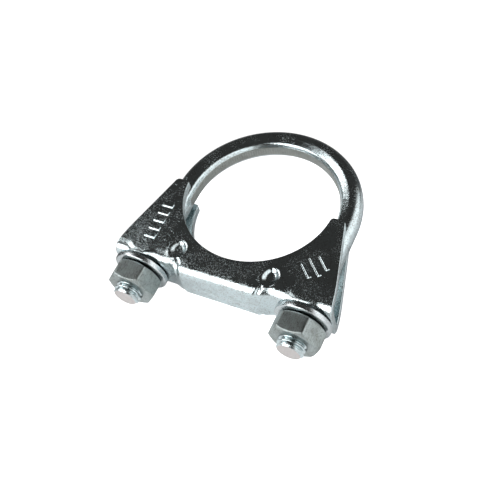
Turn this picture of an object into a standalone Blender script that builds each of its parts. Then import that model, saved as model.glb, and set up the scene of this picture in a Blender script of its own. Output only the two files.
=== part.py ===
"""U-bolt pipe clamp: a bent M8 bar, a pressed channel saddle, two nuts and two washers.

The clamp lies flat. X runs across the two legs, +Y from the nuts towards the bow and +Z up,
along the axis of the pipe that the clamp holds. The origin is under the middle of the clamp,
on the surface that it lies on.
"""
import math

import bmesh
import bpy
from mathutils import Matrix, Vector

MM = 0.001

# Driving dimensions
LEG_SPACING = 50.0 * MM          # between the two leg axes
BAR_DIAMETER = 7.1 * MM          # blank bar, the pitch diameter of a rolled M8 thread
THREAD_DIAMETER = 8.0 * MM       # M8 nominal
THREAD_LENGTH = 28.0 * MM
THREAD_CHAMFER = 0.7 * MM
LEG_LENGTH = 40.1 * MM           # from the bow's centre to the end of a leg
BOW_LIFT = 0.4 * MM              # bow centre above the saddle's arc centre
BAND_RADIUS = 22.0 * MM          # flattened inner side of the bow, from the bow's centre
BAND_RUN = 5.0 * MM              # length of the flat along each straight leg

SADDLE_ARC = 22.3 * MM           # notch for the pipe
SADDLE_WIDTH = 14.0 * MM         # over both plates
SHEET = 2.5 * MM
OUTER_BEND = 3.5 * MM
HORN_TOP = -1.2 * MM             # the plates' upper ends, from the arc centre
HORN_HALF = 26.35 * MM           # outer corner of a horn, from the middle
SHOULDER_HALF = 32.75 * MM       # widest corner of a plate
SHOULDER_Y = -25.4 * MM
WEB_END = 31.6 * MM
SEAT_Y = -28.9 * MM              # outer face of the web under a washer
BELLY_Y = -30.3 * MM             # outer face of the web between the seats
BELLY_HALF = 11.0 * MM
SEAT_START = 16.0 * MM
DENT_X = 14.4 * MM
DENT_Y = -24.2 * MM
DENT_RADIUS = 3.0 * MM
DENT_DEPTH = 0.9 * MM
HORN_INNER_FILLET = 1.0 * MM
HORN_OUTER_FILLET = 1.3 * MM
SHOULDER_FILLET = 4.0 * MM

NUT_FLATS = 13.0 * MM
NUT_HEIGHT = 6.0 * MM
NUT_FACE_RADIUS = 6.2 * MM       # inner edge of the nut's chamfers
NUT_CHAMFER_ANGLE = math.radians(30)
WASHER_DIAMETER = 16.0 * MM
WASHER_THICKNESS = 1.5 * MM
WASHER_RIM = 0.3 * MM             # chamfer round a washer's rims
CONTACT_GAP = 0.3 * MM
NUT_TURN = {"left": 3.0, "right": -3.0}    # degrees about +Y

ROUND_SIDES = 32
BAND_SIDES = 96
BAR_SIDES_RESOLUTION = 6
ARC_STEPS = 36
BOW_STEPS = 32
BEND_STEPS = 4
STEP_STEPS = 5
DENT_SEGMENTS = 16
DENT_RINGS = 10
OVERCUT = 0.2 * MM               # how far a cutter stands past what it cuts
SLEEVE_STEP = 0.02 * MM          # keeps the thread sleeve's end off the bar's facets
HOLE_CUTTER_LENGTH = 12.0 * MM
WELD = 0.01 * MM
FLAT_ANGLE = math.radians(0.1)

# Worked out from the above
BOW_RADIUS = LEG_SPACING / 2
BAR_RADIUS = BAR_DIAMETER / 2
THREAD_RADIUS = THREAD_DIAMETER / 2
HOLE_RADIUS = THREAD_RADIUS + CONTACT_GAP
LEG_END = BOW_LIFT - LEG_LENGTH
BOW_TOP = BOW_LIFT + BOW_RADIUS + BAR_RADIUS
ARC_CENTRE = Vector((0.0, -(LEG_END + BOW_TOP) / 2, WASHER_DIAMETER / 2))
SHEET_HALF = SHOULDER_HALF + 5 * MM
PLATE_TOP = 3 * MM
LEGS = {"left": -BOW_RADIUS, "right": BOW_RADIUS}
WASHER_TOP = SEAT_Y - CONTACT_GAP
NUT_TOP = WASHER_TOP - WASHER_THICKNESS - CONTACT_GAP


def clear_scene():
    for obj in list(bpy.data.objects):
        bpy.data.objects.remove(obj, do_unlink=True)


def new_collection(name):
    collection = bpy.data.collections.new(name)
    bpy.context.scene.collection.children.link(collection)
    return collection


def make_material(name, colour, roughness):
    material = bpy.data.materials.new(name)
    material.use_nodes = True
    shader = material.node_tree.nodes["Principled BSDF"]
    shader.inputs["Base Color"].default_value = (*colour, 1.0)
    shader.inputs["Roughness"].default_value = roughness
    shader.inputs["Metallic"].default_value = 1.0
    return material


def link_object(name, data, collection):
    obj = bpy.data.objects.new(name, data)
    collection.objects.link(obj)
    return obj


def dress(obj, material):
    obj.data.materials.clear()
    obj.data.materials.append(material)
    obj.data.shade_smooth()
    obj.data.set_sharp_from_angle(angle=math.radians(30))


def curve_to_mesh(obj, collection):
    """Replace a curve object by its mesh, with the caps welded to the sides."""
    bpy.context.view_layer.update()
    graph = bpy.context.evaluated_depsgraph_get()
    mesh = bpy.data.meshes.new_from_object(obj.evaluated_get(graph))
    solid = bmesh.new()
    solid.from_mesh(mesh)
    bmesh.ops.remove_doubles(solid, verts=solid.verts, dist=WELD)
    bmesh.ops.recalc_face_normals(solid, faces=solid.faces)
    bmesh.ops.dissolve_limit(solid, angle_limit=FLAT_ANGLE, verts=solid.verts, edges=solid.edges)
    solid.to_mesh(mesh)
    solid.free()
    name = obj.name
    matrix = obj.matrix_world.copy()
    bpy.data.objects.remove(obj, do_unlink=True)
    result = link_object(name, mesh, collection)
    result.matrix_world = matrix
    return result


def add_cut(obj, cutter, operation="DIFFERENCE"):
    modifier = obj.modifiers.new(f"{operation.lower()}_{cutter.name}", "BOOLEAN")
    modifier.operation = operation
    modifier.object = cutter


def hide_cutter(obj):
    obj.hide_render = True
    obj.display_type = "WIRE"


def primitive_cylinder(name, radius, length, sides, collection):
    """A cylinder along local Z, centred on its own origin."""
    mesh = bpy.data.meshes.new(name)
    solid = bmesh.new()
    bmesh.ops.create_cone(solid, cap_ends=True, segments=sides, radius1=radius,
                          radius2=radius, depth=length)
    solid.to_mesh(mesh)
    solid.free()
    return link_object(name, mesh, collection)


def turned(name, profile, closed, collection):
    """Turn (radius, height) points about local Z."""
    mesh = bpy.data.meshes.new(name)
    count = len(profile)
    edges = [(i, i + 1) for i in range(count - 1)]
    if closed:
        edges.append((count - 1, 0))
    mesh.from_pydata([(radius, 0.0, height) for radius, height in profile], edges, [])
    obj = link_object(name, mesh, collection)
    screw = obj.modifiers.new("turn", "SCREW")
    screw.steps = ROUND_SIDES
    screw.render_steps = ROUND_SIDES
    screw.use_merge_vertices = True
    screw.merge_threshold = WELD
    return obj


def along_leg(obj, x, y):
    """Lay local Z along -Y, out towards the nuts, with the origin on a leg's axis."""
    turn = Matrix.Rotation(math.radians(90), 4, "X")
    obj.matrix_world = Matrix.Translation(ARC_CENTRE + Vector((x, y, 0.0))) @ turn


def filleted(corners, arc_step=math.radians(20)):
    """Round each (x, y, radius) corner of a closed outline."""
    points = []
    count = len(corners)
    for index, (x, y, radius) in enumerate(corners):
        here = Vector((x, y))
        before = (Vector(corners[index - 1][:2]) - here).normalized()
        after = (Vector(corners[(index + 1) % count][:2]) - here).normalized()
        turn = math.pi - before.angle(after)
        if radius == 0.0 or turn < math.radians(1):
            points.append(here)
            continue
        setback = radius * math.tan(turn / 2)
        centre = here + (before + after).normalized() * radius / math.cos(turn / 2)
        start = here + before * setback - centre
        side = 1.0 if before.cross(after) < 0.0 else -1.0
        steps = max(1, round(turn / arc_step))
        for step in range(steps + 1):
            points.append(centre + Matrix.Rotation(side * turn * step / steps, 2) @ start)
    return points


def slab(name, outline, half_thickness, collection):
    """A flat outline in XY, extruded both ways along Z."""
    curve = bpy.data.curves.new(name, "CURVE")
    curve.dimensions = "2D"
    curve.fill_mode = "BOTH"
    curve.extrude = half_thickness
    spline = curve.splines.new("POLY")
    spline.points.add(len(outline) - 1)
    for point, place in zip(spline.points, outline):
        point.co = (place.x, place.y, 0.0, 1.0)
    spline.use_cyclic_u = True
    obj = link_object(name, curve, collection)
    obj.location = ARC_CENTRE
    return curve_to_mesh(obj, collection)


def web_height(x):
    """Outer face of the web at x: seats under the washers, a belly between them."""
    share = (SEAT_START - abs(x)) / (SEAT_START - BELLY_HALF)
    share = min(1.0, max(0.0, share))
    return SEAT_Y + (BELLY_Y - SEAT_Y) * share * share * (3.0 - 2.0 * share)


def channel_section(web_y):
    """Outer side of the bent sheet from one plate's top to the other's, as (y, z)."""
    half = SADDLE_WIDTH / 2
    section = [(PLATE_TOP, half)]
    for step in range(BEND_STEPS + 1):
        angle = math.radians(90) * step / BEND_STEPS
        section.append((web_y + OUTER_BEND * (1.0 - math.sin(angle)),
                        half - OUTER_BEND * (1.0 - math.cos(angle))))
    return section + [(y, -z) for y, z in reversed(section)]


def bent_sheet(collection):
    """The channel before it is trimmed: its section carried along X, then thickened."""
    transition = [SEAT_START + (BELLY_HALF - SEAT_START) * step / STEP_STEPS
                  for step in range(STEP_STEPS + 1)]
    stations = [SHEET_HALF] + transition
    stations = [-x for x in stations] + stations[::-1]
    rows = [[(x, y, z) for y, z in channel_section(web_height(x))] for x in stations]
    width = len(rows[0])
    faces = []
    for row in range(len(rows) - 1):
        for column in range(width - 1):
            first = row * width + column
            faces.append((first, first + 1, first + width + 1, first + width))
    mesh = bpy.data.meshes.new("saddle")
    mesh.from_pydata([place for row in rows for place in row], [], faces)
    sheet = link_object("saddle", mesh, collection)
    sheet.location = ARC_CENTRE
    solidify = sheet.modifiers.new("sheet", "SOLIDIFY")
    solidify.thickness = SHEET
    solidify.offset = -1.0
    solidify.use_even_offset = True
    return sheet


def saddle_outline():
    """The plates' outline: pipe arc, horns and slanted sides, running on past the web."""
    horn_angle = math.asin(-HORN_TOP / SADDLE_ARC)
    sweep = math.pi - 2 * horn_angle
    arc = []
    for step in range(ARC_STEPS + 1):
        angle = math.pi + horn_angle + sweep * step / ARC_STEPS
        radius = HORN_INNER_FILLET if step in (0, ARC_STEPS) else 0.0
        arc.append((SADDLE_ARC * math.cos(angle), SADDLE_ARC * math.sin(angle), radius))
    past = 2 * (SEAT_Y - SHOULDER_Y)
    corner = SHOULDER_HALF + 2 * (WEB_END - SHOULDER_HALF)
    right = [(HORN_HALF, HORN_TOP, HORN_OUTER_FILLET), (SHOULDER_HALF, SHOULDER_Y, SHOULDER_FILLET),
             (corner, SHOULDER_Y + past, 0.0)]
    left = [(-x, y, radius) for x, y, radius in reversed(right)]
    return filleted(arc + right + left)


def saddle_cutters(cutters):
    result = []
    for side, x in LEGS.items():
        hole = primitive_cylinder(f"{side}_hole_cutter", HOLE_RADIUS, HOLE_CUTTER_LENGTH,
                                  ROUND_SIDES, cutters)
        along_leg(hole, x, SEAT_Y)
        result.append(hole)
    for x in (-DENT_X, DENT_X):
        for face in (-1, 1):
            mesh = bpy.data.meshes.new("dent_cutter")
            ball = bmesh.new()
            bmesh.ops.create_uvsphere(ball, u_segments=DENT_SEGMENTS,
                                      v_segments=DENT_RINGS, radius=DENT_RADIUS)
            ball.to_mesh(mesh)
            ball.free()
            dent = link_object("dent_cutter", mesh, cutters)
            height = SADDLE_WIDTH / 2 + DENT_RADIUS - DENT_DEPTH
            dent.location = ARC_CENTRE + Vector((x, DENT_Y, face * height))
            result.append(dent)
    return result


def build_saddle(parts, cutters, material):
    saddle = bent_sheet(parts)
    outline = slab("outline_cutter", saddle_outline(), SADDLE_WIDTH, cutters)
    hide_cutter(outline)
    add_cut(saddle, outline, "INTERSECT")
    for cutter in saddle_cutters(cutters):
        hide_cutter(cutter)
        add_cut(saddle, cutter)
    dress(saddle, material)
    return saddle


def bar_path():
    """The bar's centre line: a leg, the half-round bow and the other leg."""
    inside_sleeve = LEG_END + 2 * THREAD_CHAMFER
    path = [Vector((-BOW_RADIUS, inside_sleeve, 0.0))]
    for step in range(BOW_STEPS + 1):
        angle = math.pi - math.pi * step / BOW_STEPS
        path.append(Vector((BOW_RADIUS * math.cos(angle),
                            BOW_LIFT + BOW_RADIUS * math.sin(angle), 0.0)))
    path.append(Vector((BOW_RADIUS, inside_sleeve, 0.0)))
    return path


def build_u_bolt(parts, cutters, material):
    curve = bpy.data.curves.new("u_bolt", "CURVE")
    curve.dimensions = "3D"
    curve.bevel_depth = BAR_RADIUS
    curve.bevel_resolution = BAR_SIDES_RESOLUTION
    curve.use_fill_caps = True
    path = bar_path()
    spline = curve.splines.new("POLY")
    spline.points.add(len(path) - 1)
    for point, place in zip(spline.points, path):
        point.co = (*place, 1.0)
    bar = link_object("u_bolt", curve, parts)
    bar.location = ARC_CENTRE
    bar = curve_to_mesh(bar, parts)
    for side, x in LEGS.items():
        sleeve = thread_sleeve(f"{side}_thread", cutters)
        along_leg(sleeve, x, LEG_END)
        hide_cutter(sleeve)
        add_cut(bar, sleeve, "UNION")
    for cutter in band_cutters(cutters):
        hide_cutter(cutter)
        add_cut(bar, cutter)
    dress(bar, material)
    return bar


def thread_sleeve(name, collection):
    """The threaded length as its outer cylinder, with its tip at the local origin."""
    blend = THREAD_RADIUS - BAR_RADIUS
    tip = THREAD_RADIUS - THREAD_CHAMFER
    profile = [(0.0, 0.0), (tip, 0.0), (THREAD_RADIUS, -THREAD_CHAMFER),
               (THREAD_RADIUS, blend - THREAD_LENGTH),
               (BAR_RADIUS + SLEEVE_STEP, -THREAD_LENGTH), (0.0, -THREAD_LENGTH)]
    return turned(name, profile, False, collection)


def band_cutters(cutters):
    """What the flat on the inner side of the bow is cut with."""
    height = 2 * BAR_DIAMETER
    disc = primitive_cylinder("band_disc_cutter", BAND_RADIUS, height, BAND_SIDES, cutters)
    disc.location = ARC_CENTRE + Vector((0.0, BOW_LIFT, 0.0))
    block_mesh = bpy.data.meshes.new("band_block_cutter")
    solid = bmesh.new()
    bmesh.ops.create_cube(solid, size=1.0)
    bmesh.ops.scale(solid, verts=solid.verts,
                    vec=(2 * BAND_RADIUS, BAND_RUN, height))
    solid.to_mesh(block_mesh)
    solid.free()
    block = link_object("band_block_cutter", block_mesh, cutters)
    block.location = ARC_CENTRE + Vector((0.0, BOW_LIFT - BAND_RUN / 2, 0.0))
    return [disc, block]


def build_nut(side, x, parts, cutters, material):
    corner_radius = NUT_FLATS / 2 / math.cos(math.radians(30))
    nut = primitive_cylinder(f"{side}_nut", corner_radius, NUT_HEIGHT, 6, parts)
    turn = Matrix.Rotation(math.radians(NUT_TURN[side] + 30), 4, "Y")
    along_leg(nut, x, NUT_TOP - NUT_HEIGHT / 2)
    nut.matrix_world = (Matrix.Translation(nut.matrix_world.translation) @ turn
                        @ nut.matrix_world.to_3x3().to_4x4())
    chamfer_height = (corner_radius - NUT_FACE_RADIUS) * math.tan(NUT_CHAMFER_ANGLE)
    wide = corner_radius + OVERCUT
    half = NUT_HEIGHT / 2 + OVERCUT
    shoulder = NUT_HEIGHT / 2 - chamfer_height * (wide - NUT_FACE_RADIUS) \
        / (corner_radius - NUT_FACE_RADIUS)
    face = NUT_FACE_RADIUS - OVERCUT / math.tan(NUT_CHAMFER_ANGLE)
    profile = [(0.0, half), (face, half), (wide, shoulder), (wide, -shoulder),
               (face, -half), (0.0, -half)]
    envelope = turned(f"{side}_nut_envelope", profile, False, cutters)
    bore = primitive_cylinder(f"{side}_nut_bore_cutter", HOLE_RADIUS, 2 * NUT_HEIGHT,
                              ROUND_SIDES, cutters)
    for cutter, operation in ((envelope, "INTERSECT"), (bore, "DIFFERENCE")):
        along_leg(cutter, x, NUT_TOP - NUT_HEIGHT / 2)
        hide_cutter(cutter)
        add_cut(nut, cutter, operation)
    dress(nut, material)
    return nut


def build_washer(side, x, parts, material):
    """A flat ring with the rims' corners broken."""
    outer = WASHER_DIAMETER / 2
    half = WASHER_THICKNESS / 2
    profile = [(HOLE_RADIUS, half), (outer - WASHER_RIM, half), (outer, half - WASHER_RIM),
               (outer, WASHER_RIM - half), (outer - WASHER_RIM, -half), (HOLE_RADIUS, -half)]
    washer = turned(f"{side}_washer", profile, True, parts)
    along_leg(washer, x, WASHER_TOP - half)
    dress(washer, material)
    return washer


def main():
    clear_scene()
    parts = new_collection("u_bolt_clamp")
    cutters = new_collection("cutters")
    bright_zinc = make_material("bright_zinc", (0.60, 0.62, 0.64), 0.14)
    satin_zinc = make_material("satin_zinc", (0.50, 0.51, 0.50), 0.34)
    washer_zinc = make_material("washer_zinc", (0.56, 0.57, 0.57), 0.24)
    build_saddle(parts, cutters, bright_zinc)
    build_u_bolt(parts, cutters, bright_zinc)
    for side, x in LEGS.items():
        build_washer(side, x, parts, washer_zinc)
        build_nut(side, x, parts, cutters, satin_zinc)


main()
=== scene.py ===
"""U-bolt pipe clamp: the visible surfaces and the studio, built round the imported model.

Sizes in the classes are millimetres from the centre of the saddle's pipe notch, with X across
the legs, +Y towards the bow and +Z up along the pipe. `Layout` finds that centre from the
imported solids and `Skin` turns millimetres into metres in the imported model's own frame.
"""

import logging
import math
from dataclasses import dataclass, field
from enum import Enum
from typing import Any, ClassVar

import bmesh
import bpy
import numpy as np
from mathutils import Matrix, Vector


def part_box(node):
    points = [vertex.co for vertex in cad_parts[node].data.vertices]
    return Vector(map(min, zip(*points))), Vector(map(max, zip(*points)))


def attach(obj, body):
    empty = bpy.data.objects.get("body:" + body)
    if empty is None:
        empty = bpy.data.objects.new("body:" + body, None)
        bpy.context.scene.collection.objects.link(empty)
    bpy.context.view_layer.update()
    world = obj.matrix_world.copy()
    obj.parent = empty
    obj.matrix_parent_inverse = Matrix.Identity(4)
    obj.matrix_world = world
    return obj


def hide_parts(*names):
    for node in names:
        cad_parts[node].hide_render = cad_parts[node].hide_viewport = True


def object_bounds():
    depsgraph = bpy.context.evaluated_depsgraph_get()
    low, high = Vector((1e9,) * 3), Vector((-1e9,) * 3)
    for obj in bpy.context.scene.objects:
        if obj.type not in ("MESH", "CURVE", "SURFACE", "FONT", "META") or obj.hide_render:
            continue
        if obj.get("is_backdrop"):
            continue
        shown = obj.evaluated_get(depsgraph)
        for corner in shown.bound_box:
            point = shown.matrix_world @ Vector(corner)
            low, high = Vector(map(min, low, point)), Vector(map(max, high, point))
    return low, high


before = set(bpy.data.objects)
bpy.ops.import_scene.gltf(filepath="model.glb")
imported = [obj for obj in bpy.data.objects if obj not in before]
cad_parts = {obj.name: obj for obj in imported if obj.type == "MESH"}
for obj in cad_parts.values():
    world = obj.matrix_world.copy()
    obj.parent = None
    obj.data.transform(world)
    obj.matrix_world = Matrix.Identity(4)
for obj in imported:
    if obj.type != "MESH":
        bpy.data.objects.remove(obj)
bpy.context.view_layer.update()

LOG = logging.getLogger("clamp")
MM = 0.001
Array = np.ndarray


class Side(Enum):
    """The two legs, named as seen from above with the bow at the far end."""

    LEFT = "left"
    RIGHT = "right"

    @property
    def sign(self) -> float:
        """-1 for the left leg and +1 for the right one."""
        return -1.0 if self is Side.LEFT else 1.0


@dataclass(frozen=True)
class Layout:
    """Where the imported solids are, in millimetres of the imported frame."""

    centre: tuple[float, float, float]
    leg_half: float
    leg_end: float
    nut: tuple[float, float]
    washer: tuple[float, float]

    @classmethod
    def read(cls) -> "Layout":
        """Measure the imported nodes.

        Returns:
            The pipe notch's centre, and the legs', nuts' and washers' places relative to it.
        """
        bar = [np.array(corner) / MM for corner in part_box("u_bolt")]
        nut = [np.array(corner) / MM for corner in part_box("right_nut")]
        washer = [np.array(corner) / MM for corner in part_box("right_washer")]
        bow = UBolt.lift + UBolt.bow_radius + UBolt.bar_radius
        centre = (0.0, float(bar[1][1]) - bow, float(bar[0][2] + bar[1][2]) / 2)
        along = centre[1]
        return cls(
            centre=centre,
            leg_half=float(washer[0][0] + washer[1][0]) / 2,
            leg_end=float(bar[0][1]) - along,
            nut=(float(nut[0][1]) - along, float(nut[1][1]) - along),
            washer=(float(washer[0][1]) - along, float(washer[1][1]) - along),
        )


def soft_min(first: Array, second: Array, blend: float) -> Array:
    """The lower of two values, with the crease between them rounded.

    The rounding takes (blend - |a - b|)^2 / (4 blend) off wherever the two are that close.

    Args:
        first: One set of values.
        second: The other, of the same shape or a single value.
        blend: Difference over which the crease is rounded.

    Returns:
        The rounded minimum.
    """
    close = np.maximum(blend - np.abs(first - second), 0.0)
    return np.minimum(first, second) - close * close / (4.0 * blend)


def smooth_step(value: Array, low: float, high: float) -> Array:
    """0 below low, 1 above high and a smooth cubic between them."""
    share = np.clip((value - low) / (high - low), 0.0, 1.0)
    return share * share * (3.0 - 2.0 * share)


def border(grid: Array) -> Array:
    """A grid's boundary points in order, each once."""
    return np.concatenate([grid[0, :-1], grid[:-1, -1], grid[-1, :0:-1], grid[:0:-1, 0]])


@dataclass
class Skin:
    """A surface collected from grids of points, in millimetres from the notch's centre."""

    centre: tuple[float, float, float]
    points: list[Array] = field(default_factory=list)
    faces: list[Array] = field(default_factory=list)
    count: int = 0

    def add(self, grid: Array, wrap_rows: bool = False, wrap_columns: bool = False) -> None:
        """Add a rows x columns x 3 grid of points as quads.

        Args:
            grid: The points.
            wrap_rows: Join the last row to the first.
            wrap_columns: Join the last column to the first.
        """
        rows, columns = grid.shape[:2]
        index = np.arange(rows * columns).reshape(rows, columns) + self.count
        if wrap_rows:
            index = np.vstack([index, index[:1]])
        if wrap_columns:
            index = np.hstack([index, index[:, :1]])
        quads = np.stack([index[:-1, :-1], index[1:, :-1], index[1:, 1:], index[:-1, 1:]], axis=-1)
        self.points.append(grid.reshape(-1, 3))
        self.faces.append(quads.reshape(-1, 4))
        self.count += rows * columns

    def piece(self, name: str, crease: float = 38.0, merge: float = 0.002) -> bpy.types.Object:
        """Close the grids into one mesh whose faces point outwards.

        Args:
            name: Name of the new object.
            crease: Angle in degrees past which an edge stays sharp.
            merge: Distance in millimetres within which points become one.

        Returns:
            The object, at the origin, with its place in its mesh.
        """
        mesh = bpy.data.meshes.new(name)
        places = (np.concatenate(self.points) + np.array(self.centre)) * MM
        mesh.from_pydata(places.tolist(), [], np.concatenate(self.faces).tolist())
        solid = bmesh.new()
        solid.from_mesh(mesh)
        bmesh.ops.remove_doubles(solid, verts=solid.verts, dist=merge * MM)
        bmesh.ops.recalc_face_normals(solid, faces=solid.faces)
        open_edges = sum(1 for edge in solid.edges if not edge.is_manifold)
        if solid.calc_volume(signed=True) < 0.0:
            bmesh.ops.reverse_faces(solid, faces=solid.faces)
        solid.to_mesh(mesh)
        solid.free()
        mesh.shade_smooth()
        mesh.set_sharp_from_angle(angle=math.radians(crease))
        obj = bpy.data.objects.new(name, mesh)
        bpy.context.scene.collection.objects.link(obj)
        LOG.info("%s: %d faces, %d open edges", name, len(mesh.polygons), open_edges)
        return obj


class Wire:
    """A node's output, with arithmetic that adds Math nodes."""

    def __init__(self, graph: "Graph", socket: bpy.types.NodeSocket) -> None:
        """Keep the socket and the graph it belongs to."""
        self.graph = graph
        self.socket = socket

    def _maths(self, operation: str, first: Any, second: Any) -> "Wire":
        """Add one Math node and return its result."""
        return self.graph.node("ShaderNodeMath", {"operation": operation}, {0: first, 1: second})

    def __add__(self, other: Any) -> "Wire":
        """This plus other."""
        return self._maths("ADD", self, other)

    def __radd__(self, other: Any) -> "Wire":
        """Other plus this."""
        return self._maths("ADD", other, self)

    def __sub__(self, other: Any) -> "Wire":
        """This minus other."""
        return self._maths("SUBTRACT", self, other)

    def __rsub__(self, other: Any) -> "Wire":
        """Other minus this."""
        return self._maths("SUBTRACT", other, self)

    def __mul__(self, other: Any) -> "Wire":
        """This times other."""
        return self._maths("MULTIPLY", self, other)

    def __rmul__(self, other: Any) -> "Wire":
        """Other times this."""
        return self._maths("MULTIPLY", other, self)


class Graph:
    """A material's or world's node tree."""

    def __init__(self, owner: bpy.types.Material | bpy.types.World) -> None:
        """Start from the tree that the owner comes with."""
        owner.use_nodes = True
        self.tree = owner.node_tree

    def node(self, kind: str, settings: dict[str, Any] | None = None,
             sockets: dict[Any, Any] | None = None, output: str | int = 0) -> Wire:
        """Add any node.

        Args:
            kind: The node's type.
            settings: Its properties, set before its inputs.
            sockets: Values or wires for its inputs, by name or number.
            output: Which output to return.

        Returns:
            The chosen output as a wire.
        """
        made = self.tree.nodes.new(kind)
        for key, value in (settings or {}).items():
            setattr(made, key, value)
        self.feed(made, sockets or {})
        return Wire(self, made.outputs[output])

    def feed(self, target: bpy.types.Node, sockets: dict[Any, Any]) -> None:
        """Set or link the inputs of a node."""
        for key, value in sockets.items():
            if isinstance(value, Wire):
                self.tree.links.new(value.socket, target.inputs[key])
            else:
                target.inputs[key].default_value = value

    def step(self, value: Wire, low: float, high: float) -> Wire:
        """A mask that rises from 0 at low to 1 at high."""
        return self.node("ShaderNodeMapRange", {"interpolation_type": "SMOOTHSTEP"},
                         {"Value": value, "From Min": low, "From Max": high})

    def noise(self, place: Wire, size: float, detail: float = 3.0, rough: float = 0.55) -> Wire:
        """Noise from 0 to 1 whose blotches are about size millimetres across."""
        return self.node("ShaderNodeTexNoise", {"noise_dimensions": "3D"},
                         {"Vector": place, "Scale": 1.0 / (size * MM), "Detail": detail,
                          "Roughness": rough})

    def mix(self, share: Wire, first: Any, second: Any) -> Wire:
        """A colour between two colours; the Mix node's colour inputs are its sockets 6 and 7."""
        return self.node("ShaderNodeMix", {"data_type": "RGBA"},
                         {"Factor": share, 6: first, 7: second}, output=2)


NOISE_SHIFT = (0.31, 0.17, 0.23)
CLOUD_SIZE = 3.2
WAVE_SIZE = 7.0
BRUSH_SIZE = 0.20
SCRATCH_SIZE = 0.30
SCRATCH_TURN = 0.9
SCRATCH_STRETCH = (0.07, 1.8, 1.0)
BRUSH_STRETCH = (1.0, 0.10, 1.0)
BUMP_HEIGHT = 0.06


@dataclass(frozen=True)
class ZincFinish:
    """Zinc plate on steel: a metal with mottling, specks, scratches and a little tint."""

    name: str
    light: tuple[float, float, float]
    dull: tuple[float, float, float]
    roughness: float
    speck: float
    bump: float
    grain: float = 0.42
    brushed: float = 0.0

    def material(self) -> bpy.types.Material:
        """Build the finish's material.

        Dark specks take the dull colour, pale ones are rougher and so catch the lights, and
        the clouds between them lower the colour a little. A brushed finish adds fine lines
        along Y.

        Returns:
            A metallic material whose colour, roughness and normal vary over the surface.
        """
        made = bpy.data.materials.new(self.name)
        graph = Graph(made)
        shader = graph.tree.nodes["Principled BSDF"]
        place = graph.node("ShaderNodeTexCoord", output="Object")
        shifted = graph.node("ShaderNodeVectorMath", {"operation": "ADD"},
                             {0: place, 1: NOISE_SHIFT})
        cloud = graph.noise(place, CLOUD_SIZE, 4.0, 0.6)
        wave = graph.noise(shifted, WAVE_SIZE, 2.0, 0.5)
        fleck = graph.noise(place, self.grain, 3.0, 0.7)
        pale = graph.noise(shifted, self.grain * 0.9, 3.0, 0.7)
        along = graph.node("ShaderNodeMapping", None,
                           {"Vector": place, "Rotation": (0.0, 0.0, SCRATCH_TURN),
                            "Scale": SCRATCH_STRETCH})
        lines = graph.node("ShaderNodeMapping", None,
                           {"Vector": place, "Scale": BRUSH_STRETCH})
        brush = graph.noise(lines, BRUSH_SIZE, 2.0)
        scratches = graph.step(graph.noise(along, SCRATCH_SIZE, 1.0), 0.70, 0.76)
        blotch = graph.step(cloud, 0.44, 0.62)
        dark = graph.step(fleck, 0.50, 0.66)
        bright = graph.step(pale, 0.50, 0.64) * (0.25 + 1.0 * graph.step(wave, 0.42, 0.60))
        share = graph.node("ShaderNodeMath", {"operation": "MULTIPLY", "use_clamp": True},
                           {0: 0.15 * blotch + 0.55 * dark + self.brushed * brush, 1: 1.0})
        colour = graph.mix(share, (*self.light, 1.0), (*self.dull, 1.0))
        rough = (self.roughness + self.speck * bright + 0.3 * self.speck * blotch
                 + 0.5 * self.speck * scratches + 0.2 * self.brushed * brush)
        height = 0.5 * fleck + 0.75 * pale + 0.12 * scratches + 0.9 * cloud + 1.0 * wave
        normal = graph.node("ShaderNodeBump", None,
                            {"Strength": self.bump, "Distance": BUMP_HEIGHT * MM,
                             "Height": height + self.brushed * 0.6 * brush})
        graph.feed(shader, {"Base Color": colour, "Metallic": 1.0, "Roughness": rough,
                            "Normal": normal})
        return made


BRIGHT = ZincFinish("bright_zinc", (0.60, 0.69, 0.71), (0.22, 0.19, 0.17), 0.045, 0.32, 0.8)
SATIN = ZincFinish("satin_zinc", (0.52, 0.60, 0.61), (0.14, 0.14, 0.12), 0.24, 0.16, 0.9, 0.25, 0.8)
WASHER = ZincFinish("washer_zinc", (0.62, 0.67, 0.69), (0.30, 0.30, 0.28), 0.16, 0.20, 0.7, 0.3)
# The knurled flat's zinc: a darker copy of the bow's, whose darker colour is painted shade that
# dims the flat's reflection; its higher roughness is real.
KNURL_PAINTED_SHADE = ZincFinish("knurled_zinc_painted_shade", (0.42, 0.44, 0.42), (0.18, 0.18, 0.16), 0.28, 0.16, 0.8, 0.3)
CUT_STEEL = ZincFinish("cut_steel", (0.62, 0.59, 0.58), (0.44, 0.41, 0.40), 0.42, 0.10, 1.0, 0.3)


@dataclass(frozen=True)
class Bar:
    """A raised bar on the front plate: its middle, its size and its turn in degrees."""

    x: float
    y: float
    length: float
    width: float
    turn: float = 0.0


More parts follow.
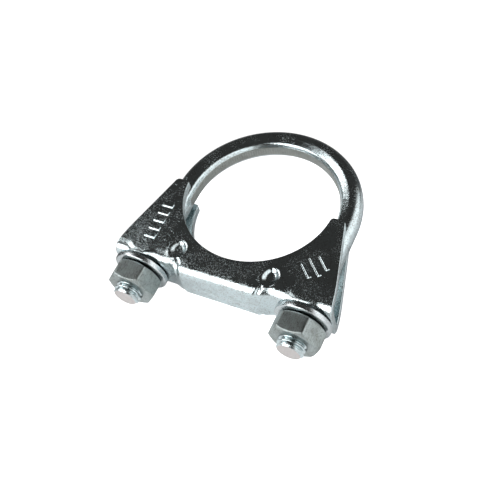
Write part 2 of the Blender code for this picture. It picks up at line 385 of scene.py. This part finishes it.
@dataclass
class Saddle:
    """The pressed channel: two horned plates, the bends and the web that the nuts pull on."""

    layout: Layout
    arc_radius: float = 22.3
    half_width: float = 7.0
    sheet: float = 2.5
    outer_bend: float = 3.5
    seat_bend: float = 2.0
    seat_reach: float = 3.4
    least_bend: float = 0.5
    horn_top: float = -1.2
    horn_half: float = 26.35
    shoulder: tuple[float, float] = (32.45, -24.3)
    web_end: tuple[float, float] = (32.85, -28.9)
    seat: float = -28.9
    belly: float = -30.3
    belly_half: float = 11.0
    seat_start: float = 16.0
    inner_corner: float = 1.0
    outer_corner: float = 1.3
    edge: float = 0.28
    hole: float = 4.3
    hole_sides: int = 48
    drill_reach: tuple[float, float] = (3.0, 5.0)
    dent: tuple[float, float] = (14.1, -24.0)
    dent_reach: tuple[float, float, float] = (2.4, 3.0, 4.0)
    dent_depth: float = 0.9
    dent_floor: float = 0.4
    dent_lean: float = 0.35
    lip_height: float = 0.09
    lip_place: float = 1.1
    lip_width: float = 0.16
    fold_depth: float = 0.34
    fold_start: tuple[float, float] = (12.6, -28.0)
    fold_slant: float = 0.25
    fold_width: float = 0.5
    bead_height: float = 0.16
    bead_width: float = 0.9
    stamp_height: float = 0.34
    stamp_walls: tuple[float, float] = (0.06, 0.26)
    stamp_foot: float = 0.03
    stamp_grid: tuple[int, int] = (25, 41)
    stamp_under: float = 0.3
    ladder: tuple[float, float] = (-24.1, -22.2)
    ladder_step: float = 2.75
    slant: tuple[float, float] = (24.1, -17.5)
    slant_step: float = 1.82
    crease: float = 38.0

    def side(self, height: Array) -> Array:
        """Half width of the plates: two straight lines with the shoulder rounded between them."""
        upper = self.horn_half + (self.horn_top - height) * (
            (self.shoulder[0] - self.horn_half) / (self.horn_top - self.shoulder[1]))
        lower = self.shoulder[0] + (height - self.shoulder[1]) * (
            (self.shoulder[0] - self.web_end[0]) / (self.shoulder[1] - self.web_end[1]))
        return soft_min(upper, lower, 0.9)

    def side_normal(self, height: Array) -> Array:
        """Outward direction of the right side edge in the plates' plane, as (x, y)."""
        slope = (self.side(height + 0.01) - self.side(height - 0.01)) / 0.02
        normal = np.stack([np.ones_like(slope), -slope], axis=-1)
        return normal / np.linalg.norm(normal, axis=-1, keepdims=True)

    def web(self, across: Array) -> Array:
        """Outer face of the web: seats under the washers and a belly between them."""
        return self.seat + (self.belly - self.seat) * (
            1.0 - smooth_step(np.abs(across), self.belly_half, self.seat_start))

    def top(self) -> tuple[Array, Array]:
        """The plates' upper outline from left to right: pipe arc, horn corners and horn tops.

        Each piece is a circle's arc or a line, and the inward normal points into the sheet.

        Returns:
            Points and inward normals, as n x 2 arrays.
        """
        rise = -self.horn_top
        inner_y = rise + self.inner_corner
        inner_x = math.sqrt((self.arc_radius + self.inner_corner) ** 2 - inner_y ** 2)
        start = math.atan2(inner_y, inner_x)
        side = math.atan2(self.shoulder[0] - self.horn_half, self.horn_top - self.shoulder[1])
        outer_x = self.horn_half - self.outer_corner * (1.0 - math.sin(side)) / math.cos(side)
        angle = np.linspace(-math.pi / 2, -start, 100)
        around = np.stack([np.cos(angle), np.sin(angle)], axis=-1)
        parts = [(self.arc_radius * around, around)]
        angle = np.linspace(math.pi - start, math.pi / 2, 9)[1:]
        around = np.stack([np.cos(angle), np.sin(angle)], axis=-1)
        parts.append((np.array([inner_x, -inner_y]) + self.inner_corner * around, -around))
        run = np.linspace(inner_x, outer_x, 9)[1:]
        parts.append((np.stack([run, np.full_like(run, -rise)], axis=-1),
                      np.tile([0.0, -1.0], (len(run), 1))))
        angle = np.linspace(math.pi / 2, side, 9)[1:]
        around = np.stack([np.cos(angle), np.sin(angle)], axis=-1)
        corner = np.array([outer_x, -rise - self.outer_corner])
        parts.append((corner + self.outer_corner * around, -around))
        points = np.concatenate([part[0] for part in parts])
        normals = np.concatenate([part[1] for part in parts])
        mirror = np.array([-1.0, 1.0])
        return (np.concatenate([(points * mirror)[:0:-1], points]),
                np.concatenate([(normals * mirror)[:0:-1], normals]))

    def section(self) -> tuple[Array, Array, Array]:
        """The bent sheet's rows: share of the way down a plate, bend angle and web position.

        Returns:
            Three arrays of equal length. The first runs 0 to 1 on the plate, the second turns
            0 to 90 degrees through the bend, and the third runs 0 to 1 across the half web.
        """
        down = np.linspace(0.0, 1.0, 58)
        down = 1.0 - (1.0 - down) ** 1.25
        turn = np.linspace(0.0, math.pi / 2, 15)[1:]
        over = np.linspace(0.0, 1.0, 13)[1:]
        zero_turn, zero_over = np.zeros_like(turn), np.zeros_like(over)
        return (np.concatenate([down, zero_turn + 1.0, zero_over + 1.0]),
                np.concatenate([np.zeros_like(down), turn, zero_over + math.pi / 2]),
                np.concatenate([np.zeros_like(down), zero_turn, over]))

    def relief(self, grid: Array, normal: Array) -> Array:
        """Press the corner dents, the folds and the web's bead into the sheet.

        With d the distance from a dent's middle as a share of its reach, the dent is flat up to
        its floor's share and climbs a smooth cubic wall to d = 1, with a faint lip
        exp(-((d - place) / width)^2) round it; the bead is a low ridge exp(-(z / width)^2) along
        the belly, and a narrow fold runs from each dent round the bend.

        Args:
            grid: Points of the outer or inner skin.
            normal: The outer skin's unit normals at the same points.

        Returns:
            The pressed points.
        """
        moved = grid.copy()
        for sign in (-1.0, 1.0):
            for face in (-1.0, 1.0):
                middle = np.array([sign * self.dent[0], self.dent[1], face * self.half_width])
                apart = np.linalg.norm((grid - middle) / self.dent_reach, axis=-1)
                bowl = 1.0 - smooth_step(apart, self.dent_floor, 1.0)
                lip = self.lip_height * np.exp(-((apart - self.lip_place) / self.lip_width) ** 2)
                near = face * grid[..., 2] > 0.0
                lean = np.array([0.0, self.dent_lean, -face])
                moved += (self.dent_depth * bowl * near)[..., None] * lean
                moved += (lip * near)[..., None] * normal
        line = self.fold_start[0] + self.fold_slant * (grid[..., 1] - self.fold_start[1])
        fold = self.fold_depth * np.exp(-((np.abs(grid[..., 0]) - line) / self.fold_width) ** 2)
        fold *= smooth_step(-grid[..., 1], 26.2, 27.2) * smooth_step(np.abs(grid[..., 2]), 2.5, 4.5)
        moved -= fold[..., None] * normal
        inside = smooth_step(-np.abs(grid[..., 0]), -self.belly_half - 1.0, -self.belly_half + 2.0)
        ridge = self.bead_height * np.exp(-(grid[..., 2] / self.bead_width) ** 2)
        ridge *= inside * (normal[..., 1] < -0.99)
        moved += ridge[..., None] * normal
        return moved

    def skin(self, depth: float) -> tuple[Array, Array]:
        """The sheet at a depth below its outer face, inside the rounded cut edges.

        Columns keep their share of the plates' half width at every height, and rows follow
        the section: down the plate, round the bend of radius (outer bend - depth), and across.
        The bend is tighter beside the bolt holes.

        Args:
            depth: 0 for the outer skin and the sheet's thickness for the inner one.

        Returns:
            Points and outer unit normals, both rows x columns x 3.
        """
        points, normals = self.top()
        start = points + self.edge * normals
        tilt = self.side_normal(start[:, 1])[:, 0]
        share = start[:, 0] / (self.side(start[:, 1]) - self.edge / tilt)
        share[0], share[-1] = -1.0, 1.0
        floor = self.web(share * self.web_end[0])
        down, turn, over = (row[:, None] for row in self.section())
        apart = np.abs(np.abs(share * self.web_end[0]) - self.layout.leg_half) / self.seat_reach
        bend = self.outer_bend - (self.outer_bend - self.seat_bend) * np.exp(-apart ** 4)
        radius = np.maximum(bend - depth, self.least_bend)
        line = floor + radius + depth
        plate = start[None, :, 1] + (line - start[:, 1]) * down
        height = np.where(turn > 0.0, line - radius * np.sin(turn), plate)
        flat = self.half_width - depth - radius
        up = (flat + radius * np.cos(turn)) * np.ones_like(height)
        up = np.where(over > 0.0, flat * (1.0 - over), up)
        tilt = self.side_normal(height)[..., 0]
        across = share * (self.side(height) - self.edge / tilt)
        across = np.where((down == 0.0), start[:, 0], across)
        front = np.stack([across, height, up], axis=-1)
        facing = np.stack([np.zeros_like(height), -np.sin(turn) * np.ones_like(height),
                           np.cos(turn) * np.ones_like(height)], axis=-1)
        flip = np.array([1.0, 1.0, -1.0])
        grid = np.concatenate([front, (front * flip)[-2::-1]])
        normal = np.concatenate([facing, (facing * flip)[-2::-1]])
        return self.relief(grid, normal), normal

    def rim(self, outer: Array, inner: Array, normal: Array) -> Array:
        """The cut edge all round the sheet: a quarter round, a straight wall, a quarter round.

        A ring at angle t stands edge * sin(t) out from the skin's boundary and
        edge * (1 - cos(t)) into the sheet.

        Args:
            outer: The outer skin.
            inner: The inner skin.
            normal: The outer skin's normals.

        Returns:
            A boundary x ring x 3 grid, closed along its first axis.
        """
        _, inward = self.top()
        flat = np.concatenate([-inward, np.zeros((len(inward), 1))], axis=-1)

        def outward(grid: Array) -> Array:
            """Directions out of the boundary, in the sheet's own plane at each point."""
            away = np.zeros_like(grid)
            for column, sign in ((0, -1.0), (-1, 1.0)):
                plan = self.side_normal(grid[:, column, 1])
                away[:, column, 0] = sign * plan[:, 0]
                away[:, column, 1] = plan[:, 1]
            away[0], away[-1] = flat, flat
            away -= (away * normal).sum(-1, keepdims=True) * normal
            length = np.linalg.norm(away, axis=-1, keepdims=True)
            return away / np.maximum(length, 1e-9)

        steps = np.linspace(0.0, math.pi / 2, 5)[None, :, None]
        facing = border(normal)[:, None, :]
        top = border(outer)[:, None] + self.edge * (
            border(outward(outer))[:, None] * np.sin(steps) - facing * (1.0 - np.cos(steps)))
        low = border(inner)[:, None] + self.edge * (
            border(outward(inner))[:, None] * np.sin(steps) + facing * (1.0 - np.cos(steps)))
        return np.concatenate([top, low[:, ::-1]], axis=1)

    def build(self) -> bpy.types.Object:
        """Make the saddle with its two bolt holes.

        Returns:
            The finished piece.
        """
        outer, normal = self.skin(0.0)
        inner, _ = self.skin(self.sheet)
        skin = Skin(self.layout.centre)
        skin.add(outer)
        skin.add(inner)
        skin.add(self.rim(outer, inner, normal), wrap_rows=True)
        saddle = skin.piece("saddle_pressing")
        for side in Side:
            self.drill(saddle, side)
        saddle.data.materials.clear()
        saddle.data.materials.append(BRIGHT.material())
        saddle.data.set_sharp_from_angle(angle=math.radians(self.crease))
        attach(saddle, "saddle")
        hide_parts("saddle")
        x, y = self.ladder
        self.stamp("left_plate_bars",
                   [Bar(x, y + self.ladder_step * index, length=3.4, width=1.25)
                    for index in range(5)])
        x, y = self.slant
        self.stamp("right_plate_bars",
                   [Bar(x + self.slant_step * index, y + self.slant_step * index,
                        length=6.4 - 1.4 * abs(index), width=0.8, turn=-45.0)
                    for index in (-1, 0, 1)])
        return saddle

    def stamp(self, name: str, bars: list[Bar]) -> None:
        """Raise plain bars on the front plate, each a low pad with sloping walls.

        A pad's height is top * (1 - smooth(d)), with d from 0 at the top's edge to 1 at the foot,
        which lies just under the plate's face. Its end walls are steeper than its long ones.

        Args:
            name: Name of the piece.
            bars: The bars that it is made of.
        """
        skin = Skin(self.layout.centre)
        rows, columns = np.meshgrid(np.linspace(-1, 1, self.stamp_grid[0]),
                                    np.linspace(-1, 1, self.stamp_grid[1]), indexing="ij")
        end, wall = self.stamp_walls
        for bar in bars:
            along = columns * (bar.length / 2 + end)
            across = rows * (bar.width / 2 + wall)
            out = np.hypot(np.maximum((np.abs(along) - bar.length / 2) / end + 1.0, 0.0),
                           np.maximum((np.abs(across) - bar.width / 2) / wall + 1.0, 0.0)) / 2
            rise = self.stamp_height * (1.0 - smooth_step(out, 0.0, 1.0)) - self.stamp_foot
            cosine, sine = math.cos(math.radians(bar.turn)), math.sin(math.radians(bar.turn))
            top = np.stack([bar.x + along * cosine - across * sine,
                            bar.y + along * sine + across * cosine,
                            self.half_width + rise], axis=-1)
            under = top * [1.0, 1.0, 0.0] + [0.0, 0.0, self.half_width - self.stamp_under]
            skin.add(top)
            skin.add(under)
            skin.add(np.stack([border(top), border(under)], axis=1), wrap_rows=True)
        pads = skin.piece(name, crease=80.0, merge=0.0005)
        pads.data.materials.append(BRIGHT.material())
        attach(pads, "saddle")

    def drill(self, saddle: bpy.types.Object, side: Side) -> None:
        """Cut one bolt hole through the web and remove the tool."""
        angle = np.linspace(0.0, 2 * math.pi, self.hole_sides + 1)[:-1]
        ring = np.stack([self.hole * np.cos(angle), np.zeros_like(angle),
                         self.hole * np.sin(angle)], axis=-1)
        middle = np.array([side.sign * self.layout.leg_half, 0.0, 0.0])
        levels = [self.seat - self.drill_reach[0], self.seat + self.drill_reach[1]]
        rows = [ring * 0.0 + middle + [0, levels[0], 0], ring + middle + [0, levels[0], 0],
                ring + middle + [0, levels[1], 0], ring * 0.0 + middle + [0, levels[1], 0]]
        tool_skin = Skin(self.layout.centre)
        tool_skin.add(np.array(rows), wrap_columns=True)
        tool = tool_skin.piece(f"{side.value}_drill")
        cut = saddle.modifiers.new("hole", "BOOLEAN")
        cut.operation = "DIFFERENCE"
        cut.object = tool
        graph = bpy.context.evaluated_depsgraph_get()
        mesh = bpy.data.meshes.new_from_object(saddle.evaluated_get(graph))
        saddle.modifiers.clear()
        saddle.data = mesh
        bpy.data.objects.remove(tool, do_unlink=True)


@dataclass
class Thread:
    """An M8 coarse thread's shape, right-handed about +Y."""

    crest: float = 4.0
    root: float = 3.27
    pitch: float = 1.25

    def radius(self, along: Array, x: Array, z: Array) -> Array:
        """Radius of the ridge at a place on the leg.

        The distance w from the crest's middle is pitch * |frac(y / pitch - angle / turn) - 1/2|,
        and the flank falls at 60 degrees: crest - (w - crest flat) / tan(30), no lower than root.

        Args:
            along: Y of the place.
            x: X from the leg's axis.
            z: Z from the leg's axis.

        Returns:
            The thread's radius there.
        """
        phase = along / self.pitch - np.arctan2(x, z) / (2 * math.pi)
        apart = self.pitch * np.abs(phase - np.floor(phase) - 0.5)
        flank = self.crest - (apart - 0.10) / math.tan(math.radians(30.0))
        flank = soft_min(flank, np.full_like(flank, self.crest), 0.10)
        return -soft_min(-flank, np.full_like(flank, -self.root), 0.15)


@dataclass
class UBolt:
    """The bent bar: threaded legs and a bow whose inner side is flattened and knurled."""

    layout: Layout
    thread: Thread
    thread_length: float = 28.0
    chamfer_radius: float = 3.32
    sides: int = 66
    flat_half_angle: float = 0.62
    knurl_height: float = 0.10
    knurl_period: float = 1.5
    knurl_pull: float = 0.88
    lift: ClassVar[float] = 0.4
    bow_radius: ClassVar[float] = 25.0
    bar_radius: ClassVar[float] = 3.55
    band_radius: ClassVar[float] = 22.0
    band_run: ClassVar[float] = 5.0
    facets: ClassVar[tuple[tuple[float, float], ...]] = ((112.0, 3.36), (152.0, 3.27))

    def stations(self) -> Array:
        """Distances along the bar's middle line, from the left leg's end to the right one's."""
        leg = self.lift - self.layout.leg_end
        turns = np.arange(0.0, self.thread_length + 2.0, self.thread.pitch / 15)
        chamfer = np.array([0.0, 0.05])
        plain = np.linspace(turns[-1] + 0.4, leg - self.band_run - 1.5, 8)
        band = np.arange(leg - self.band_run - 1.3, leg + math.pi * self.bow_radius / 2, 0.19)
        half = np.concatenate([chamfer, turns[1:], plain, band])
        return np.concatenate([half, (2 * leg + math.pi * self.bow_radius) - half[::-1]])

    def build(self) -> bpy.types.Object:
        """Sweep the bar: a radius R(s, angle) round the middle line.

        R is the bar's own radius, or the thread's on the legs, cut off by the end chamfer
        and by the flat: R * |cos(angle)| stays under the flat's distance on the inner side.
        Pressed facets beside the flat cut it the same way, each about its own direction.
        A diamond pattern of two crossing ridges stands on the flat.

        Returns:
            The finished piece.
        """
        leg = self.lift - self.layout.leg_end
        bow = math.pi * self.bow_radius
        run = self.stations()[:, None]
        spread = self.flat_half_angle
        flat = np.linspace(math.pi - spread, math.pi + spread, 25)
        rest = np.linspace(math.pi + spread, 3 * math.pi - spread, self.sides - 23)[1:-1]
        angle = np.concatenate([flat, rest])[None, :]
        turn = np.clip((run - leg) / self.bow_radius, 0.0, math.pi)
        outward = np.concatenate([-np.cos(turn), np.sin(turn), np.zeros_like(turn)], axis=-1)
        middle_x = -self.bow_radius * np.cos(turn)
        middle_y = self.lift + self.bow_radius * np.sin(turn)
        past = np.minimum(run, leg) - leg + np.minimum(leg + bow - run, 0.0)
        middle_y = middle_y + past
        x = np.cos(angle) * outward[:, :1]
        z = np.sin(angle) * np.ones_like(run)
        radius = np.full((len(run), angle.shape[1]), self.bar_radius)
        end = np.minimum(run, 2 * leg + bow - run)
        cut = self.thread.radius(middle_y * np.ones_like(angle), x, z)
        runout = smooth_step(end, self.thread_length - 1.5, self.thread_length + 0.8)
        radius = np.where(end < self.thread_length + 1.0,
                          cut + (self.bar_radius - cut) * runout, radius)
        radius = soft_min(radius, self.chamfer_radius + 1.05 * end * np.ones_like(angle), 0.12)
        past_bow = np.maximum(leg - run, run - leg - bow)
        deep = self.bow_radius - self.band_radius + 0.6 * smooth_step(
            past_bow, self.band_run - 0.4, self.band_run + 1.0)
        inner = np.maximum(-np.cos(angle), 1e-3)
        flatness = deep / inner
        width = self.bar_radius * np.sin(angle)
        fade = smooth_step(-np.abs(width), -1.55, -1.15) * (np.cos(angle) < 0.0)
        fade = fade * (1.0 - smooth_step(past_bow, self.band_run - 1.2, self.band_run - 0.4))
        along = run * self.knurl_pull
        first = np.sin(2 * math.pi * (along + width) / self.knurl_period)
        second = np.sin(2 * math.pi * (along - width) / self.knurl_period)
        knurl = self.knurl_height * (first * second) * fade
        radius = soft_min(radius, np.where(np.cos(angle) < -0.2, flatness + knurl, 9.0), 0.05)
        pressed = 1.0 - smooth_step(past_bow, self.band_run - 1.0, self.band_run + 3.0)
        facets = [(math.radians(bearing), reach) for bearing, reach in self.facets]
        for bearing, reach in facets + [(-bearing, reach) for bearing, reach in facets]:
            lean = np.cos(angle - bearing)
            reach = reach + (self.bar_radius - reach) * (1.0 - pressed)
            cutoff = np.where(lean > 0.5, reach / np.maximum(lean, 0.5), 9.0)
            radius = np.where(pressed > 0.0, soft_min(radius, cutoff, 0.08), radius)
        grid = np.stack([middle_x + radius * np.cos(angle) * outward[:, :1],
                         middle_y + radius * np.cos(angle) * outward[:, 1:2],
                         radius * np.sin(angle)], axis=-1)
        skin = Skin(self.layout.centre)
        skin.add(grid, wrap_columns=True)
        for ring in (grid[0], grid[-1]):
            middle = np.array([ring[:, 0].mean(), ring[:, 1].mean(), 0.0])
            share = np.linspace(1.0, 0.0, 7)[:, None, None]
            dish = 0.05 * np.sin(np.linspace(0.0, math.pi, 7))[:, None, None]
            skin.add(middle + (ring[None] - middle) * share + dish * [0.0, 1.0, 0.0],
                     wrap_columns=True)
        bolt = skin.piece("bent_bar", crease=50.0)
        bolt.data.materials.append(BRIGHT.material())
        bolt.data.materials.append(CUT_STEEL.material())
        # The knurled flat's finish, with painted shade in its darker colour.
        bolt.data.materials.append(KNURL_PAINTED_SHADE.material())
        self.dress(bolt)
        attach(bolt, "u_bolt")
        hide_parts("u_bolt")
        return bolt

    def dress(self, bolt: bpy.types.Object) -> None:
        """Give the cut leg ends and the knurled flat their own finishes; the flat's darker colour
        is painted shade.

        A face belongs to an end if it faces -Y at the end's height, and to the flat if its
        middle lies on or near the bow, within 1.85 mm of the bar's middle plane and no more than
        0.12 mm outside the band's radius from the bow's centre.
        """
        count = len(bolt.data.polygons)
        centre, normal = np.empty(count * 3), np.empty(count * 3)
        bolt.data.polygons.foreach_get("center", centre)
        bolt.data.polygons.foreach_get("normal", normal)
        centre = centre.reshape(-1, 3) / MM - np.array(self.layout.centre)
        normal = normal.reshape(-1, 3)
        slot = np.zeros(count, dtype=np.int32)
        slot[(centre[:, 1] < self.layout.leg_end + 0.3) & (normal[:, 1] < -0.9)] = 1
        rise = np.maximum(centre[:, 1] - self.lift, 0.0)
        apart = np.hypot(centre[:, 0], rise)
        past = self.lift - centre[:, 1] < self.band_run - 0.5
        slot[(apart < self.band_radius + 0.12) & past & (np.abs(centre[:, 2]) < 1.85)] = 2
        bolt.data.polygons.foreach_set("material_index", slot)


@dataclass
class Nut:
    """A chamfered hexagon nut with a threaded bore."""

    layout: Layout
    thread: Thread
    side: Side
    flats: float = 13.0
    face_radius: float = 6.2
    turn: float = 3.0
    steps: int = 144
    mouth: float = 4.15
    clearance: float = 0.07
    bore: float = 3.42

    def build(self) -> bpy.types.Object:
        """Carry a closed profile round the nut's axis.

        The outside is the lesser of the hexagon's radius (flats / 2) / cos(angle from the flat's
        middle) and the chamfer cone's, both with rounded creases, and the bore follows the
        bolt's thread with a little clearance.

        Returns:
            The finished piece.
        """
        low, high = self.layout.nut
        middle, half = (low + high) / 2, (high - low) / 2
        corner = self.side.sign * self.turn
        angle = np.linspace(0.0, 2 * math.pi, self.steps + 1)[None, :-1]
        bearing = np.degrees(angle) - corner - 30.0
        apart = np.radians((bearing + 30.0) % 60.0 - 30.0)
        hexagon = soft_min(self.flats / 2 / np.cos(apart),
                           self.flats / 2 / np.cos(math.pi / 3 - np.abs(apart)), 0.28)
        share = np.linspace(-1.0, 1.0, 41)
        share = np.sign(share) * (1.0 - (1.0 - np.abs(share)) ** 1.5)
        level = (half * share)[:, None]
        cone = self.face_radius + (half - np.abs(level)) / math.tan(math.radians(30.0))
        outside = soft_min(hexagon * np.ones_like(level), cone * np.ones_like(angle), 0.22)
        inward = np.linspace(0.0, 1.0, 7)[1:-1, None]
        ring = outside[-1:] + (self.mouth - outside[-1:]) * inward
        bore_level = np.linspace(1.0, -1.0, 110)[:, None] * half
        x, z = np.cos(angle), np.sin(angle)
        bore = self.thread.radius(middle + bore_level * np.ones_like(angle), x, z) + self.clearance
        bore = -soft_min(-bore, np.full_like(bore, -self.bore), 0.06)
        funnel = self.mouth - (half - np.abs(bore_level))
        bore = -soft_min(-bore, -funnel * np.ones_like(angle), 0.05)
        radius = np.concatenate([outside, ring, bore, ring[::-1]])
        levels = np.concatenate([level, np.full_like(inward, half), bore_level,
                                 np.full_like(inward, -half)])
        grid = np.stack([self.side.sign * self.layout.leg_half + radius * x,
                         middle + levels * np.ones_like(radius), radius * z], axis=-1)
        skin = Skin(self.layout.centre)
        skin.add(grid, wrap_rows=True, wrap_columns=True)
        nut = skin.piece(f"{self.side.value}_hex_nut", crease=45.0)
        nut.data.materials.append(SATIN.material())
        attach(nut, f"{self.side.value}_nut")
        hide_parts(f"{self.side.value}_nut")
        return nut


@dataclass
class Washer:
    """A punched flat washer: one rim rounded by the punch, the other nearly sharp."""

    layout: Layout
    side: Side
    outer: float = 8.0
    hole: float = 4.3
    rims: tuple[float, float, float, float] = (0.42, 0.2, 0.1, 0.25)
    steps: int = 144

    def build(self) -> bpy.types.Object:
        """Turn a closed profile with corner arcs about the leg.

        Returns:
            The finished piece.
        """
        low, high = self.layout.washer
        angle = np.linspace(0.0, 2 * math.pi, self.steps + 1)[None, :-1]
        quarter = np.linspace(0.0, math.pi / 2, 6)
        corners = [(self.outer, low, self.rims[0], 1.0, -1.0),
                   (self.outer, high, self.rims[1], 1.0, 1.0),
                   (self.hole, high, self.rims[2], -1.0, 1.0),
                   (self.hole, low, self.rims[3], -1.0, -1.0)]
        radius, level = [], []
        for index, (reach, height, bend, out, up) in enumerate(corners):
            bow = quarter if index % 2 else quarter[::-1]
            radius.append(reach - out * bend * (1.0 - np.cos(bow)))
            level.append(height - up * bend * (1.0 - np.sin(bow)))
        radius, level = np.concatenate(radius)[:, None], np.concatenate(level)[:, None]
        grid = np.stack([self.side.sign * self.layout.leg_half + radius * np.cos(angle),
                         level * np.ones_like(angle), radius * np.sin(angle)], axis=-1)
        skin = Skin(self.layout.centre)
        skin.add(grid, wrap_rows=True, wrap_columns=True)
        washer = skin.piece(f"{self.side.value}_flat_washer")
        washer.data.materials.append(WASHER.material())
        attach(washer, f"{self.side.value}_washer")
        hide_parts(f"{self.side.value}_washer")
        return washer


@dataclass
class Studio:
    """Floor, world, lights and camera, whose turns are degrees about X, then Y, then Z."""

    layout: Layout
    eye: tuple[float, float, float] = (83.32, -111.65, 174.59)
    turns: tuple[float, float, float] = (34.68, 10.44, 25.10)
    lens: float = 55.47
    # Strength of the floor's painted pool of light round the clamp.
    painted_light_pool: float = 0.08
    floor_reach: float = 2500.0
    floor_gap: float = 0.02
    room_glow: float = 0.045
    wall_glow: float = 1.5
    strip_glow: float = 0.3
    sun_energy: float = 1.15
    sun_angle: float = 50.0
    sun_place: tuple[float, float, float] = (-0.5, -0.6, 0.62)

    def camera(self) -> None:
        """Place the camera and turn it from looking straight down."""
        data = bpy.data.cameras.new("camera")
        data.lens = self.lens
        data.sensor_width = 36.0
        data.clip_start = 0.01
        camera = bpy.data.objects.new("camera", data)
        bpy.context.scene.collection.objects.link(camera)
        camera.location = (Vector(self.eye) + Vector(self.layout.centre)) * MM
        camera.rotation_euler = [math.radians(turn) for turn in self.turns]
        bpy.context.scene.camera = camera

    def floor(self) -> None:
        """A wide pale disc under the clamp, white where the camera sees it directly.

        In reflections it shows painted light and shade: its colour is painted dark behind the bow,
        a painted shadow on the far side from the lights, and a painted pool of light glows round
        the clamp.
        """
        angle = np.linspace(0.0, 2 * math.pi, 65)[None, :-1]
        reach = np.linspace(0.0, self.floor_reach, 6)[:, None]
        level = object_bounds()[0].z / MM - self.layout.centre[2] - self.floor_gap
        grid = np.stack([reach * np.cos(angle), reach * np.sin(angle),
                         np.full((6, 64), level)], axis=-1)
        skin = Skin(self.layout.centre)
        skin.add(grid, wrap_columns=True)
        floor = skin.piece("floor")
        made = bpy.data.materials.new("pale_floor")
        graph = Graph(made)
        shader = graph.tree.nodes["Principled BSDF"]
        place = graph.node("ShaderNodeVectorMath", {"operation": "SUBTRACT"},
                           {0: graph.node("ShaderNodeTexCoord", output="Object"),
                            1: tuple(Vector(self.layout.centre) * MM)})
        reach = graph.node("ShaderNodeVectorMath", {"operation": "LENGTH"}, {0: place}, "Value")
        x, y = (graph.node("ShaderNodeSeparateXYZ", None, {0: place}, output=axis) for axis in "XY")
        # behind: mask of the painted shadow, the floor's back part beyond about 29 mm from the
        # clamp's middle, on the far side from the lights.
        behind = graph.step(y - 0.9 * x, -0.005, 0.015) * graph.step(reach, 0.027, 0.031)
        # glow: painted pool of light, floor emission round the clamp that fades out between 0.1 m
        # and 0.6 m and stops where the painted shadow lies.
        glow = self.painted_light_pool * (1.0 - graph.step(reach, 0.10, 0.6)) * (1.0 - behind)
        seen = graph.node("ShaderNodeLightPath", output="Is Camera Ray")
        # Base colour: the pale floor, with the painted shadow in dark grey behind the bow.
        pale = graph.mix(behind, (0.85, 0.86, 0.87, 1.0), (0.07, 0.07, 0.07, 1.0))
        graph.feed(shader, {"Base Color": pale, "Roughness": 0.9,
                            "Emission Color": glow + seen, "Emission Strength": 1.0})
        floor.data.materials.append(made)
        floor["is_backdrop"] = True

    def world(self) -> None:
        """A dark room with a pale wall at the right and a low pale strip in front.

        Each wall is a mask on how far the direction looked in leans to the wall's side. The
        room looks white where the camera sees it directly.
        """
        world = bpy.data.worlds.new("studio")
        bpy.context.scene.world = world
        graph = Graph(world)
        look = graph.node("ShaderNodeTexCoord", output="Generated")
        x, y, z = (graph.node("ShaderNodeSeparateXYZ", None, {0: look}, output=axis)
                   for axis in "XYZ")
        right = graph.step(x, 0.36, 0.52) * (1.0 - graph.step(z, 0.62, 0.80))
        front = graph.step(-1.0 * y, 0.45, 0.80) * (1.0 - graph.step(z, 0.05, 0.25))
        seen = graph.node("ShaderNodeLightPath", output="Is Camera Ray")
        graph.feed(graph.tree.nodes["Background"],
                   {"Color": graph.mix(right + seen, (1.0, 0.96, 0.92, 1.0), (1.0, 1.0, 1.0, 1.0)),
                    "Strength": (self.room_glow + self.wall_glow * right
                                 + self.strip_glow * front + seen)})

    def panel(self, name: str, place: tuple[float, float, float], facing: tuple[float, ...],
              size: tuple[float, float], glow: float) -> None:
        """Add a rectangular soft light.

        Args:
            name: Its name.
            place: Its middle, in metres from the clamp's middle.
            facing: The direction it shines in, square to Y.
            size: Its length along Y and its other side, in metres.
            glow: Its brightness, where a white wall's is 1.
        """
        data = bpy.data.lights.new(name, "AREA")
        data.shape = "RECTANGLE"
        data.size, data.size_y = size[1], size[0]
        data.energy = glow * math.pi * size[0] * size[1]
        lamp = bpy.data.objects.new(name, data)
        bpy.context.scene.collection.objects.link(lamp)
        back = -Vector(facing).normalized()
        along = Vector((0.0, 1.0, 0.0))
        turn = Matrix((along.cross(back), along, back)).transposed()
        lamp.matrix_world = Matrix.Translation(place) @ turn.to_4x4()

    def sun(self) -> None:
        """A soft light from the front left that only the floor shows, for its shading."""
        data = bpy.data.lights.new("floor_light", "SUN")
        data.energy = self.sun_energy
        data.angle = math.radians(self.sun_angle)
        lamp = bpy.data.objects.new("floor_light", data)
        lamp.visible_glossy = False
        bpy.context.scene.collection.objects.link(lamp)
        lamp.rotation_euler = Vector(self.sun_place).to_track_quat("Z", "Y").to_euler()

    def build(self) -> None:
        """Set up everything that isn't the clamp."""
        self.floor()
        self.world()
        self.panel("left_panel", (-0.79, 0.02, 0.61), (0.79, 0.0, -0.61), (0.60, 0.50), 3.6)
        self.panel("front_panel", (-0.50, -1.35, 0.56), (0.65, 0.0, -0.76), (1.70, 1.10), 4.0)
        self.sun()
        self.camera()
        bpy.context.scene.view_settings.view_transform = "Standard"


def main() -> None:
    """Build the clamp's pieces and the studio, after logging the layout."""
    logging.basicConfig(level=logging.INFO, format="%(message)s")
    layout = Layout.read()
    thread = Thread()
    LOG.info("layout %s", layout)
    Saddle(layout).build()
    UBolt(layout, thread).build()
    for side in Side:
        Washer(layout, side).build()
        Nut(layout, thread, side).build()
    Studio(layout).build()


if __name__ == "__main__":
    main()
